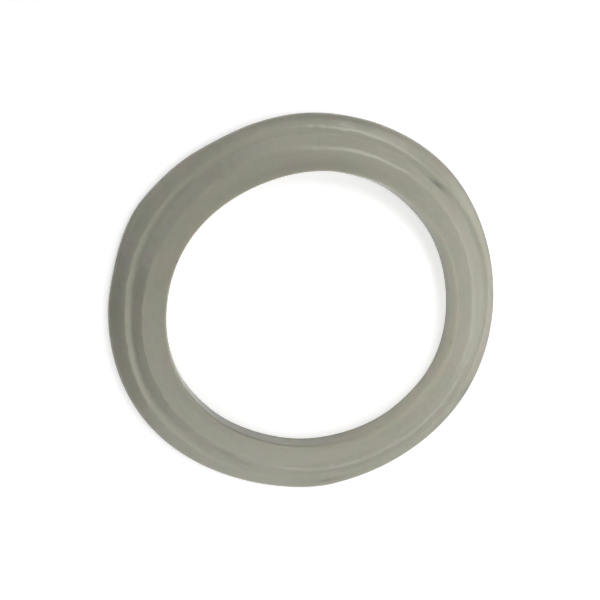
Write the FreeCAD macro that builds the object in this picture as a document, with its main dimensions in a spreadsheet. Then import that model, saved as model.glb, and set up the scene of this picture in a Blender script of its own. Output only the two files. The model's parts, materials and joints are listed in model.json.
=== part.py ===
"""A one-piece moulded L-section seal ring, in millimetres.

The ring lies on its flat face, with its axis along +Z and the origin at the bore's centre on that face. A thin
flange runs out from the bore to a rim that slopes down from a narrow ledge. A low collar stands on the flange
around the bore and leans outward on its way down, so that the section is a squat L with one step.
"""

import FreeCAD, Part

import math
import os

import Sketcher

PARTS_FOLDER = "parts"
RING = "l_gasket"

# The driving dimensions: a name, a length in millimetres and what it measures.
SIZES = [
    ("bore_diameter", 29.5, "the hole through the ring"),
    ("collar_width", 2.2, "bore wall to the collar's shoulder, along a radius"),
    ("collar_lean", 1.15, "how far the collar's outer wall runs out on its way down"),
    ("ledge_width", 0.65, "foot of the collar's outer wall to the ledge's edge, along a radius"),
    ("rim_slope", 1.5, "ledge's edge to the outside of the rim, along a radius"),
    ("rim_wall", 0.1, "flat face to the foot of the rim's rounding"),
    ("flange_thickness", 1.4, "flat face to ledge"),
    ("collar_rise", 0.9, "ledge to the collar's top face"),
    ("rim_round", 0.9, "rounding between the rim's wall and its slope"),
    ("edge_round", 0.2, "rounding of the ledge's outer edge"),
    ("root_round", 0.8, "hollow where the collar meets the ledge"),
    ("shoulder_round", 0.25, "rounding of the collar's outer shoulder"),
    ("lead_round", 0.1, "rounding of the bore's upper edge"),
]

# Two lengths closer than this are the same, in millimetres.
SAME_PLACE = 1e-4


def make_sheet(doc):
    """Keep the driving dimensions in a sheet, one row each, with the value's cell named by its alias."""
    sheet = doc.addObject("Spreadsheet::Sheet", "Sizes")
    for row, (alias, value, meaning) in enumerate(SIZES, start=1):
        sheet.set(f"A{row}", meaning)
        sheet.set(f"B{row}", str(value))
        sheet.setAlias(f"B{row}", alias)
    doc.recompute()
    return sheet


def section_corners(sheet):
    """Name the section's corners, each a radius and a height, in order around the squat L from the bore's foot."""
    bore = sheet.bore_diameter / 2
    shoulder = bore + sheet.collar_width
    root = shoulder + sheet.collar_lean
    edge = root + sheet.ledge_width
    rim = edge + sheet.rim_slope
    ledge = sheet.flange_thickness
    top = ledge + sheet.collar_rise
    return {
        "bore_foot": (bore, 0),
        "rim_foot": (rim, 0),
        "rim_wall": (rim, sheet.rim_wall),
        "edge": (edge, ledge),
        "root": (root, ledge),
        "shoulder": (shoulder, top),
        "lead": (bore, top),
    }


def origin_feature(body, role):
    """Return the body's own origin plane or axis with this role."""
    return next(feature for feature in body.Origin.OriginFeatures if feature.Role == role)


def rim_arc(sheet, wall_top, edge):
    """Draw the arc from the top of the rim's wall to the slope that comes down to it from the ledge's edge."""
    radius = sheet.rim_round
    centre = wall_top - FreeCAD.Vector(radius, 0, 0)
    reach = centre - edge
    turn = math.atan2(reach.x, -reach.y) + math.asin(radius / reach.Length)
    circle = Part.Circle(centre, FreeCAD.Vector(0, 0, 1), radius)
    return Part.ArcOfCircle(circle, 0, turn)


def add_section(body, sheet):
    """Draw half of the section: seven straight sides and the rim's arc, before any other rounding."""
    section = body.newObject("Sketcher::SketchObject", "Section")
    section.AttachmentSupport = [(origin_feature(body, "XZ_Plane"), "")]
    section.MapMode = "FlatFace"

    corners = [FreeCAD.Vector(radius, height, 0) for radius, height in section_corners(sheet).values()]
    bore_foot, rim_foot, wall_top, edge, root, shoulder, lead = corners
    arc = rim_arc(sheet, wall_top, edge)
    outline = [
        Part.LineSegment(bore_foot, rim_foot),
        Part.LineSegment(rim_foot, wall_top),
        arc,
        Part.LineSegment(arc.EndPoint, edge),
        Part.LineSegment(edge, root),
        Part.LineSegment(root, shoulder),
        Part.LineSegment(shoulder, lead),
        Part.LineSegment(lead, bore_foot),
    ]
    sides = [section.addGeometry(side) for side in outline]
    flat_face, rim_wall, rim, rim_slope, ledge, collar_wall, top_face, bore_wall = sides
    start, end, x_axis, origin = 1, 2, -1, -1

    for side, following in zip(sides, sides[1:] + sides[:1]):
        joint = "Tangent" if rim in (side, following) else "Coincident"
        section.addConstraint(Sketcher.Constraint(joint, side, end, following, start))
    for side in (flat_face, ledge, top_face):
        section.addConstraint(Sketcher.Constraint("Horizontal", side))
    for side in (rim_wall, bore_wall):
        section.addConstraint(Sketcher.Constraint("Vertical", side))
    section.addConstraint(Sketcher.Constraint("PointOnObject", flat_face, start, x_axis))

    lengths = [
        ("DistanceX", (origin, start, flat_face, start), "bore_diameter / 2"),
        ("DistanceX", (top_face, end, top_face, start), "collar_width"),
        ("DistanceX", (collar_wall, end, collar_wall, start), "collar_lean"),
        ("DistanceX", (ledge, end, ledge, start), "ledge_width"),
        ("DistanceX", (rim_slope, end, rim_wall, start), "rim_slope"),
        ("DistanceY", (rim_wall, start, rim_wall, end), "rim_wall"),
        ("DistanceY", (rim_wall, start, rim_slope, end), "flange_thickness"),
        ("DistanceY", (collar_wall, start, collar_wall, end), "collar_rise"),
    ]
    for kind, between, formula in lengths:
        drawn = section.getPoint(*between[2:]) - section.getPoint(*between[:2])
        value = drawn.x if kind == "DistanceX" else drawn.y
        constraint = section.addConstraint(Sketcher.Constraint(kind, *between, value))
        section.setExpression(f"Constraints[{constraint}]", f"Sizes.{formula}")
    constraint = section.addConstraint(Sketcher.Constraint("Radius", rim, sheet.rim_round))
    section.setExpression(f"Constraints[{constraint}]", "Sizes.rim_round")
    return section


def add_turned_ring(body, section):
    """Turn the section once about the ring's axis."""
    turned = body.newObject("PartDesign::Revolution", "TurnedRing")
    turned.Profile = section
    turned.ReferenceAxis = (section, ["V_Axis"])
    turned.Angle = 360
    body.Document.recompute()
    return turned


def round_edge_name(shape, radius, height):
    """Name the shape's edge that runs round the axis at this radius and height."""
    for number, edge in enumerate(shape.Edges, start=1):
        if not isinstance(edge.Curve, Part.Circle):
            continue
        off_radius = abs(edge.Curve.Radius - radius)
        off_height = abs(edge.Curve.Center.z - height)
        if max(off_radius, off_height) < SAME_PLACE:
            return f"Edge{number}"
    raise RuntimeError(f"no edge to round at radius {radius} and height {height}")


def add_roundings(body, sheet, ring):
    """Round the four other edges above the flat face, each by its own size in the sheet."""
    corners = section_corners(sheet)
    for corner in ("edge", "root", "shoulder", "lead"):
        rounding = body.newObject("PartDesign::Fillet", f"{corner.capitalize()}Rounding")
        rounding.Base = (ring, [round_edge_name(ring.Shape, *corners[corner])])
        rounding.setExpression("Radius", f"Sizes.{corner}_round")
        body.Document.recompute()
        ring = rounding
    return ring


def make_ring(doc, sheet):
    """Build the whole gasket as one body."""
    body = doc.addObject("PartDesign::Body", "Ring")
    body.Label = RING
    section = add_section(body, sheet)
    turned = add_turned_ring(body, section)
    body.Tip = add_roundings(body, sheet, turned)
    doc.recompute()
    return body


def check(doc, bodies):
    """Stop if any object failed, or if a body is missing, broken or more than one solid."""
    for item in doc.Objects:
        if "Invalid" in item.State or "Error" in item.State:
            raise RuntimeError(f"{item.Label} failed: {item.State}")
    for body in bodies:
        shape = body.Shape
        if shape.isNull() or not shape.isValid() or len(shape.Solids) != 1:
            raise RuntimeError(f"{body.Label} isn't one valid solid")


def export(body):
    """Write the body's file and print its size."""
    body.Shape.exportStep(os.path.join(PARTS_FOLDER, f"{body.Label}.step"))
    box = body.Shape.optimalBoundingBox()
    size = " x ".join(f"{length:.3f}" for length in (box.XLength, box.YLength, box.ZLength))
    print(f"{body.Label}: {size} mm, {body.Shape.Volume:.2f} mm3")


def main():
    doc = FreeCAD.newDocument("LGasket")
    sheet = make_sheet(doc)
    bodies = [make_ring(doc, sheet)]
    check(doc, bodies)
    os.makedirs(PARTS_FOLDER, exist_ok=True)
    for body in bodies:
        export(body)


main()
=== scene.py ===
"""A one-piece milky silicone gasket with an L section, lying on its flat face on a pale floor.

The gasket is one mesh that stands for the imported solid. Its section has the solid's sizes and is
taken round the axis with what a soft ring shows: a slight out-of-round set, kinks and wavers in
its lines, edges that are softer in places, and a dent. Lengths are named in millimetres and built
in metres. Bearings are in degrees from +X toward +Y, and angles in radians.
"""

import json
import math

import bpy
import numpy as np
from mathutils import Matrix, Vector


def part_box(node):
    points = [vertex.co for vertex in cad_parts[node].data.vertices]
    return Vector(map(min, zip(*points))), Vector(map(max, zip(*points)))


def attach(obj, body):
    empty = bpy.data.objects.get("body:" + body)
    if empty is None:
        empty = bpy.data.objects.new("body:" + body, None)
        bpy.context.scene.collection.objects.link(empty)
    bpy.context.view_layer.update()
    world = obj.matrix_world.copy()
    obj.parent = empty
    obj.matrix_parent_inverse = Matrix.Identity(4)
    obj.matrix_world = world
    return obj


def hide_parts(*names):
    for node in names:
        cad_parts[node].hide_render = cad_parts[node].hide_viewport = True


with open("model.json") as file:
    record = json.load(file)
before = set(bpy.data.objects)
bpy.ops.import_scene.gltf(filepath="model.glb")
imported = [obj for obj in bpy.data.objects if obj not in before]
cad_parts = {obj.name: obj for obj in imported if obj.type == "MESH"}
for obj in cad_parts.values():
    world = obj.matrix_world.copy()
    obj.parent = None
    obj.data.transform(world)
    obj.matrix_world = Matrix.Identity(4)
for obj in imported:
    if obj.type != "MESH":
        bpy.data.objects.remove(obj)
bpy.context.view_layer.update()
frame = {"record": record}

MM = 0.001
NODE = "l_gasket"
BODY = "root"
PIECE = "l_gasket_ring"
PAINTED_LIGHT_ATTRIBUTE = "painted_light_and_smudges"

# The section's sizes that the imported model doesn't name.
COLLAR_WIDTH = 2.2
COLLAR_LEAN = 1.15
LEDGE_WIDTH = 0.65
FOOT_ROUND = 0.05

# How the soft section changes round the ring: bearings, and there the height of the rim's corner,
# how far the ledge dips toward the collar, and the roundings of the rim, the ledge's edge, the
# root, the shoulder and the lead.
WORN_AT = [20, 50, 75, 110, 130, 160, 225, 260, 325]
RIM_CORNERS = [0.66, 0.72, 0.76, 0.74, 0.7, 0.66, 0.66, 0.66, 0.66]
ROOT_DIPS = [0.08, 0.03, 0.0, 0.0, 0.0, 0.1, 0.1, 0.0, 0.0]
RIM_ROUNDS = [0.9, 0.95, 1.0, 0.95, 0.9, 0.9, 0.9, 0.9, 0.9]
EDGE_ROUNDS = [0.12, 0.5, 1.4, 1.3, 0.5, 0.13, 0.13, 0.5, 0.5]
ROOT_ROUNDS = [0.8, 0.6, 0.22, 0.25, 1.0, 0.8, 0.8, 1.5, 1.5]
SHOULDER_ROUNDS = [0.3, 0.8, 1.3, 1.2, 0.6, 0.2, 0.3, 1.8, 1.8]
LEAD_ROUNDS = [0.3, 0.15, 0.1, 0.1, 0.1, 0.1, 0.3, 0.5, 0.4]

# How finely the mesh follows the circle, each rounding, and the straight side after each corner.
AROUND = 640
ARC_STEPS = 7
SIDE_STEPS = [38, 3, 11, 5, 7, 15, 16]

# The soft ring's set: how many lobes, how far they stand out, and the bearing of the first one.
LOBES = [
    (2, 0.397, -0.6), (3, 0.127, -48.0), (4, 0.054, -36.5), (5, 0.041, -10.8), (6, 0.046, -27.1),
]

# Where the section's lines kink: the bearing, how far it reaches to each side in degrees, and how
# far the line stands out.
BORE_KINKS = [(48, 12, -0.1), (76, 9, -0.08), (218, 9, -0.08), (281, 14, -0.1), (321, 10, -0.08)]
SHOULDER_KINKS = [
    (25, 32, -0.1), (105, 16, 0.12), (151, 9, -0.2), (184, 16, 0.12), (226, 14, -0.14),
]
LEDGE_KINKS = [
    (12, 22, 0.34), (56, 14, -0.12), (108, 18, 0.42), (182, 16, -0.14), (221, 10, -0.12),
]
RIM_KINKS = [
    (48, 16, 0.1), (95, 10, 0.08), (121, 9, -0.12), (150, 7, 0.14), (168, 7, -0.11),
    (273, 9, 0.14),
]

# How far the lines of the collar and the ledge waver, and in how many waves round the ring.
WAVER = 0.013
WAVES = (23, 31, 47, 61, 83, 109)

# Painted light and shade, with a few smudges: paler and darker patches in the silicone's colour
# that stand in for highlights, glow and shade. Each gives the bearing and section radius of the
# middle, the reach along in degrees and across in millimetres, and how much paler the patch is.
PAINTED_LIGHT_AND_SMUDGES = [
    # The bore's wall and edge: a painted glow on the wall at the right, painted shade on the wall
    # and edge elsewhere.
    (350, 14.75, 42, 0.3, 0.33),
    (230, 14.75, 26, 0.14, -0.3),
    (270, 14.75, 26, 0.14, -0.1),
    (222, 14.9, 40, 0.55, -0.13),
    (90, 15.3, 30, 0.6, -0.15),
    # The collar's outer wall, the ledge and the rim: painted highlights and painted shade; and last
    # a painted lighter band at the bore's edge again.
    (96, 17.8, 26, 0.9, 0.09),
    (89, 19.95, 27, 0.6, -0.26),
    (36, 20.3, 26, 0.35, -0.5),
    (26, 19.3, 24, 0.35, 0.12),
    (352, 18.9, 20, 0.5, 0.06),
    (174, 19.6, 28, 0.8, -0.2),
    (182, 18.45, 34, 0.3, 0.16),
    (200, 18.5, 30, 0.3, 0.1),
    (322, 20.2, 28, 0.35, -0.3),
    (312, 17.32, 28, 0.26, -0.17),
    (318, 14.85, 24, 0.3, 0.18),
    # Smudges and specks, a painted highlight on the shoulder near 260 degrees, and the dent's
    # painted shade.
    (260, 17.35, 7, 0.1, 0.28),
    (237, 17.5, 4, 0.3, -0.13),
    (245.5, 17.9, 5, 0.25, -0.14),
    (276, 19.3, 4, 0.15, -0.28),
    (277, 17.1, 0.8, 0.1, 0.3),
    (331, 19.7, 3.5, 0.4, -0.2),
    (347, 14.85, 0.9, 0.1, -0.2),
    (340, 14.85, 0.7, 0.1, -0.15),
    (158, 14.9, 0.6, 0.12, -0.35),
    (47, 18.1, 3.2, 0.2, -0.38),
]

# Dents, in the same form, with how deep each one is.
DENTS = [
    (47, 18.15, 3, 0.2, 0.1),
]

# The silicone's noises: how many features to the millimetre, and how many finer layers.
MOTTLE = (0.42, 2)
GRAIN = (2.6, 3)
LUMPS = (0.75, 2)

# The streaks' noise. It is read round a circle of its own with this radius, which draws each
# streak out along the ring, and in so many layers to the millimetre across.
STREAKS = (1.0, 3)
STREAK_TURN = 7
STREAK_LAYERS = 2.2

# The range that most of a noise's values lie in.
NOISE_RANGE = (0.25, 0.75)

# The silicone's two tints, how far grain and streaks shade them, and the strength and depth of
# its bumps.
GREEN_TINT = (0.321, 0.339, 0.262, 1)
PINK_TINT = (0.361, 0.328, 0.275, 1)
GRAIN_SHADE = (0.98, 1.02)
STREAK_SHADE = (0.965, 1.035)
LUMP_BUMP = (0.6, 0.1)
STREAK_BUMP = (0.5, 0.04)
GRAIN_BUMP = (0.15, 0.02)

# Its gloss, and how light bends and scatters under its skin. Past a roughness of about 0.27 the
# render's denoiser treats a surface otherwise, which would show as a border, so the gloss stays
# on one side of it.
ROUGHNESS = (0.19, 0.27)
SILICONE_IOR = 1.41
SCATTER_WEIGHT = 1.0
SCATTER_RADIUS = (1.0, 0.95, 0.8)
SCATTER_SCALE = 0.9

# The floor: how far it reaches to each side, its colour and roughness, how strongly it shows
# white by itself near the ring and far from it, and between which distances that grows.
FLOOR_REACH = 2000
FLOOR_COLOUR = (0.85, 0.85, 0.85, 1)
FLOOR_ROUGHNESS = 0.9
FLOOR_GLOW = (0.4, 1.0)
FLOOR_GLOW_GROWS = (50, 120)
WHITE = (1, 1, 1, 1)

# The soft square lamps, aimed at the ring's centre: bearing, elevation, distance, side and watts.
LAMPS = {
    "key_lamp": (-30, 53, 110, 100, 0.025),
    "right_lamp": (0, 32, 110, 100, 0.056),
    "back_right_lamp": (54, 44, 120, 55, 0.045),
    "back_lamp": (95, 30, 110, 70, 0.0145),
    "front_near_lamp": (-105, 50, 75, 70, 0.0185),
    "left_back_lamp": (150, 20, 450, 350, 0.45),
    "front_lamp": (255, 20, 450, 350, 0.42),
}

# The photograph's frame and the ring's place in it, in pixels.
FRAME_SIDE = 600
RING_PIXEL = (313.3, 310.66)
PIXELS_PER_MM = 9.578

# The camera: the bearing and elevation that it looks from, its distance from the ring's centre,
# and its sensor.
CAMERA_BEARING = 136.72
CAMERA_ELEVATION = 71.76
CAMERA_DISTANCE = 70.0
SENSOR = 36.0


def mount(name):
    """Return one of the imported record's mounts."""
    return next(item for item in frame["record"]["mounts"] if item["name"] == name)


def packed_sizes():
    """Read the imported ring's bore and rim radii, ledge height and full height, in millimetres."""
    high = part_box(NODE)[1] / MM
    bore = mount("bore")["dims"]["r_mm"]
    ledge = mount("ledge_face")["pos_m"][2] / MM
    return bore, high.x, ledge, high.z


def section_radii(packed):
    """Give the radii of the section's lines: bore, shoulder, root, ledge's edge and rim."""
    bore, rim, _, _ = packed
    shoulder = bore + COLLAR_WIDTH
    root = shoulder + COLLAR_LEAN
    return bore, shoulder, root, root + LEDGE_WIDTH, rim


def worn(values, angle):
    """Read one of the soft section's measures at an angle round the ring."""
    return np.interp(math.degrees(angle), WORN_AT, values, period=360)


def section_corners(packed, angle):
    """List the corners of the squat L at an angle, in order: a radius, a height and a rounding."""
    bore, shoulder, root, edge, rim = section_radii(packed)
    _, _, ledge, top = packed
    return [
        (bore, 0, FOOT_ROUND),
        (rim, 0, FOOT_ROUND),
        (rim, worn(RIM_CORNERS, angle), worn(RIM_ROUNDS, angle)),
        (edge, ledge, worn(EDGE_ROUNDS, angle)),
        (root, ledge - worn(ROOT_DIPS, angle), worn(ROOT_ROUNDS, angle)),
        (shoulder, top, worn(SHOULDER_ROUNDS, angle)),
        (bore, top, worn(LEAD_ROUNDS, angle)),
    ]


def arc_points(before, corner, after, rounding):
    """List points along the rounding of one corner, from the side before it to the side after."""
    to_before = (before - corner).normalized()
    to_after = (after - corner).normalized()
    half = to_before.angle(to_after) / 2
    inward = (to_before + to_after).normalized()
    centre = corner + inward * (rounding / math.sin(half))
    first = corner + to_before * (rounding / math.tan(half)) - centre
    last = corner + to_after * (rounding / math.tan(half)) - centre
    step = -first.angle_signed(last) / ARC_STEPS
    return [centre + Matrix.Rotation(step * k, 2) @ first for k in range(ARC_STEPS + 1)]


def section_outline(packed, angle):
    """List the points of the closed, rounded section at an angle, its straight sides divided."""
    corners = section_corners(packed, angle)
    places = [Vector((radius, height)) for radius, height, _ in corners]
    roundings = [rounding for _, _, rounding in corners]
    befores, afters = places[-1:] + places[:-1], places[1:] + places[:1]
    arcs = [arc_points(*corner) for corner in zip(befores, places, afters, roundings)]
    outline = []
    for arc, following, pieces in zip(arcs, arcs[1:] + arcs[:1], SIDE_STEPS):
        outline += arc
        outline += [arc[-1].lerp(following[0], k / pieces) for k in range(1, pieces)]
    return np.array(outline)


def out_of_round(angle):
    """Give how far the ring stands out from its true circle at each angle."""
    return sum(
        rise * np.cos(count * (angle - math.radians(first))) for count, rise, first in LOBES
    )


def degrees_from(angle, middle):
    """Give how far each angle lies from a middle bearing, from -180 to 180 degrees."""
    return (np.degrees(angle) - middle + 180) % 360 - 180


def kinked(angle, kinks):
    """Give how far a line with these kinks stands out at each angle."""
    total = np.zeros_like(angle)
    for middle, reach, rise in kinks:
        total += rise * np.exp(-((degrees_from(angle, middle) / reach) ** 2))
    return total


def wavered(angle, seed):
    """Give the small unevenness of a moulded line at each angle."""
    turns = np.random.default_rng(seed).uniform(0, 2 * math.pi, len(WAVES))
    return WAVER * sum(np.cos(count * angle + turn) for count, turn in zip(WAVES, turns))


def kinks_across(packed, angle, radius):
    """Give how far each point of the sections stands out, between the section's kinked lines."""
    lines = section_radii(packed)
    stands = np.stack([
        kinked(angle, BORE_KINKS),
        kinked(angle, SHOULDER_KINKS) + wavered(angle, seed=1),
        kinked(angle, LEDGE_KINKS) + wavered(angle, seed=2),
        kinked(angle, LEDGE_KINKS) + wavered(angle, seed=3),
        kinked(angle, RIM_KINKS),
    ], axis=-1)
    return np.array([np.interp(points, lines, row) for points, row in zip(radius, stands)])


def patched(angle, outlines, patches):
    """Add up soft oval patches at each point of the sections, with none on the flat face."""
    total = np.zeros(outlines.shape[:2])
    for middle, radius, along, across, rise in patches:
        away = degrees_from(angle, middle)[:, None]
        total += rise * np.exp(-((away / along) ** 2) - ((outlines[..., 0] - radius) / across) ** 2)
    return total * np.clip(outlines[..., 1] / FOOT_ROUND, 0, 1)


def ring_faces(across):
    """List the faces between neighbouring sections that have this many points each."""
    faces = []
    for k in range(AROUND):
        here, there = k * across, (k + 1) % AROUND * across
        for j in range(across):
            following = (j + 1) % across
            faces.append((here + j, there + j, there + following, here + following))
    return faces


def add_object(name, data):
    """Put data into the scene as an object and return it."""
    item = bpy.data.objects.new(name, data)
    bpy.context.scene.collection.objects.link(item)
    return item


def make_ring():
    """Build the gasket's mesh: the section taken round the axis in millimetres, then in metres."""
    packed = packed_sizes()
    angle = np.linspace(0, 2 * math.pi, AROUND, endpoint=False)
    outlines = np.array([section_outline(packed, turn) for turn in angle])
    radius = outlines[..., 0] + out_of_round(angle)[:, None]
    radius += kinks_across(packed, angle, outlines[..., 0])
    height = outlines[..., 1] - patched(angle, outlines, DENTS)
    x = radius * np.cos(angle)[:, None]
    y = radius * np.sin(angle)[:, None]
    vertices = np.stack([x, y, height], axis=-1).reshape(-1, 3) * MM

    mesh = bpy.data.meshes.new(PIECE)
    mesh.from_pydata(vertices.tolist(), [], ring_faces(outlines.shape[1]))
    mesh.shade_smooth()
    mesh.update()
    # The patches' painted light and shade, with the smudges, go onto each point as a paleness.
    painted_light_and_smudges = mesh.attributes.new(PAINTED_LIGHT_ATTRIBUTE, "FLOAT", "POINT")
    painted_light_and_smudges.data.foreach_set("value", 1 + patched(angle, outlines, PAINTED_LIGHT_AND_SMUDGES).ravel())
    return add_object(PIECE, mesh)


def new_material(name):
    """Add a material with nodes and return it with its node tree and its shader."""
    material = bpy.data.materials.new(name)
    material.use_nodes = True
    return material, material.node_tree, material.node_tree.nodes["Principled BSDF"]


def fill(tree, node, inputs):
    """Set a node's inputs, by name or number, to values, or link them to other nodes' outputs."""
    for key, value in inputs.items():
        if isinstance(value, bpy.types.NodeSocket):
            tree.links.new(value, node.inputs[key])
        else:
            node.inputs[key].default_value = value


def add_node(tree, kind, inputs=None, **settings):
    """Add a node with these settings and inputs, and return its outputs."""
    node = tree.nodes.new(kind)
    for name, value in settings.items():
        setattr(node, name, value)
    fill(tree, node, inputs or {})
    return node.outputs


def value_math(tree, operation, first, second, clamped=False):
    """Add arithmetic on two values and return its result."""
    inputs = {0: first, 1: second}
    return add_node(tree, "ShaderNodeMath", inputs, operation=operation, use_clamp=clamped)["Value"]


def vector_math(tree, operation, *vectors, result="Vector"):
    """Add arithmetic on vectors and return its result."""
    inputs = dict(enumerate(vectors))
    return add_node(tree, "ShaderNodeVectorMath", inputs, operation=operation)[result]


def object_place(tree):
    """Return the place on the object, in millimetres."""
    place = add_node(tree, "ShaderNodeTexCoord")["Object"]
    return vector_math(tree, "MULTIPLY", place, (1 / MM,) * 3)


def noise_at(tree, place, noise):
    """Add noise over a place and return its value."""
    scale, detail = noise
    inputs = {"Vector": place, "Scale": scale, "Detail": detail}
    return add_node(tree, "ShaderNodeTexNoise", inputs)["Fac"]


def ranged(tree, value, to_range, from_range=NOISE_RANGE):
    """Spread a value from one range over another and return it."""
    inputs = {"Value": value}
    inputs["From Min"], inputs["From Max"] = from_range
    inputs["To Min"], inputs["To Max"] = to_range
    return add_node(tree, "ShaderNodeMapRange", inputs)["Result"]


def streak_place(tree, place):
    """Return a place to read the streaks' noise at: round a circle, in layers across the ring."""
    flat = vector_math(tree, "MULTIPLY", place, (1, 1, 0))
    turn = vector_math(tree, "NORMALIZE", flat)
    along = vector_math(tree, "MULTIPLY", turn, (STREAK_TURN,) * 3)
    radius = vector_math(tree, "LENGTH", flat, result="Value")
    height = add_node(tree, "ShaderNodeSeparateXYZ", {"Vector": place})["Z"]
    layer = value_math(tree, "MULTIPLY", value_math(tree, "ADD", radius, height), STREAK_LAYERS)
    across = add_node(tree, "ShaderNodeCombineXYZ", {"Z": layer})["Vector"]
    return vector_math(tree, "ADD", along, across)


def bumped(tree, height, bump, under=None):
    """Add a bump of this strength and depth, on another one if given, and return its normal."""
    strength, depth = bump
    inputs = {"Height": height, "Strength": strength, "Distance": depth * MM}
    if under:
        inputs["Normal"] = under
    return add_node(tree, "ShaderNodeBump", inputs)["Normal"]


def silicone():
    """Milky silicone: mottled, faintly streaked along its turn, a little lumpy, and lighter or
    darker where light and shade are painted on.
    """
    material, tree, shader = new_material("milky_silicone")
    place = object_place(tree)
    mottle = noise_at(tree, place, MOTTLE)
    grain = noise_at(tree, place, GRAIN)
    lumps = noise_at(tree, place, LUMPS)
    streaks = noise_at(tree, streak_place(tree, place), STREAKS)

    tints = {"Factor": ranged(tree, mottle, (0, 1)), "A": GREEN_TINT, "B": PINK_TINT}
    tint = add_node(tree, "ShaderNodeMix", tints, data_type="RGBA")["Result"]
    # Painted light and shade, with the smudges, are read from the mesh, then shaded by grain and
    # streaks.
    shade = add_node(tree, "ShaderNodeAttribute", attribute_name=PAINTED_LIGHT_ATTRIBUTE)["Fac"]
    shade = value_math(tree, "MULTIPLY", shade, ranged(tree, grain, GRAIN_SHADE))
    shade = value_math(tree, "MULTIPLY", shade, ranged(tree, streaks, STREAK_SHADE))
    shaded = {"Vector": tint, "Scale": shade}
    colour = add_node(tree, "ShaderNodeVectorMath", shaded, operation="SCALE")["Vector"]

    normal = bumped(tree, lumps, LUMP_BUMP)
    normal = bumped(tree, streaks, STREAK_BUMP, under=normal)
    normal = bumped(tree, grain, GRAIN_BUMP, under=normal)
    fill(tree, shader, {
        "Base Color": colour,
        "Roughness": ranged(tree, lumps, ROUGHNESS),
        "Normal": normal,
        "IOR": SILICONE_IOR,
        "Subsurface Weight": SCATTER_WEIGHT,
        "Subsurface Radius": SCATTER_RADIUS,
        "Subsurface Scale": SCATTER_SCALE * MM,
    })
    return material


def seen_directly(tree):
    """Give 1 to the camera and to what mirrors or passes its view, and 0 to all other light."""
    path = add_node(tree, "ShaderNodeLightPath")
    total = path["Is Camera Ray"]
    for name in ("Is Glossy Ray", "Is Transmission Ray"):
        total = value_math(tree, "ADD", total, path[name], clamped=True)
    return total


def make_floor():
    """A wide pale floor that reads white from all sides and keeps the ring's shadow."""
    reach = FLOOR_REACH * MM
    corners = [(-reach, -reach, 0), (reach, -reach, 0), (reach, reach, 0), (-reach, reach, 0)]
    mesh = bpy.data.meshes.new("floor")
    mesh.from_pydata(corners, [], [(0, 1, 2, 3)])
    material, tree, shader = new_material("pale_floor")
    away = vector_math(tree, "LENGTH", object_place(tree), result="Value")
    glow = ranged(tree, away, FLOOR_GLOW, from_range=FLOOR_GLOW_GROWS)
    fill(tree, shader, {
        "Base Color": FLOOR_COLOUR,
        "Roughness": FLOOR_ROUGHNESS,
        "Emission Color": WHITE,
        "Emission Strength": value_math(tree, "MULTIPLY", seen_directly(tree), glow),
    })
    mesh.materials.append(material)
    floor = add_object("floor", mesh)


def direction(bearing, elevation):
    """Return the unit vector toward a bearing and an elevation, both in degrees."""
    a, e = math.radians(bearing), math.radians(elevation)
    return Vector((math.cos(a) * math.cos(e), math.sin(a) * math.cos(e), math.sin(e)))


def make_lamps():
    """Add the soft square lamps round the ring."""
    for name, (bearing, elevation, distance, side, watts) in LAMPS.items():
        lamp = bpy.data.lights.new(name, "AREA")
        lamp.size = side * MM
        lamp.energy = watts
        toward = direction(bearing, elevation)
        item = add_object(name, lamp)
        item.location = toward * (distance * MM)
        item.rotation_euler = toward.to_track_quat("Z", "Y").to_euler()


def make_world():
    """Surround the ring with white that is only seen or mirrored and gives no other light."""
    world = bpy.data.worlds.new("studio")
    bpy.context.scene.world = world
    world.use_nodes = True
    tree = world.node_tree
    fill(tree, tree.nodes["Background"], {"Color": WHITE, "Strength": seen_directly(tree)})


def make_camera():
    """Place the camera so that the ring has the photograph's place, size and tilt."""
    toward = direction(CAMERA_BEARING, CAMERA_ELEVATION)
    turn = Vector((0, 0, 1)).rotation_difference(toward).to_matrix()
    right, up = turn @ Vector((1, 0, 0)), turn @ Vector((0, 1, 0))
    middle = FRAME_SIDE / 2
    off_right = (RING_PIXEL[0] - middle) / PIXELS_PER_MM
    off_up = (middle - RING_PIXEL[1]) / PIXELS_PER_MM
    place = toward * CAMERA_DISTANCE - right * off_right - up * off_up

    data = bpy.data.cameras.new("camera")
    data.sensor_width = SENSOR
    data.lens = SENSOR * CAMERA_DISTANCE * PIXELS_PER_MM / FRAME_SIDE
    data.clip_start = MM
    camera = add_object("camera", data)
    camera.matrix_world = Matrix.Translation(place * MM) @ turn.to_4x4()
    bpy.context.scene.camera = camera


def main():
    """Build the ring, attach it to its body, hide the imported part, and set it on its floor under
    its lamps.
    """
    ring = make_ring()
    ring.data.materials.append(silicone())
    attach(ring, BODY)
    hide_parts(NODE)
    make_floor()
    make_lamps()
    make_world()
    make_camera()
    bpy.context.scene.view_settings.view_transform = "Standard"


main()
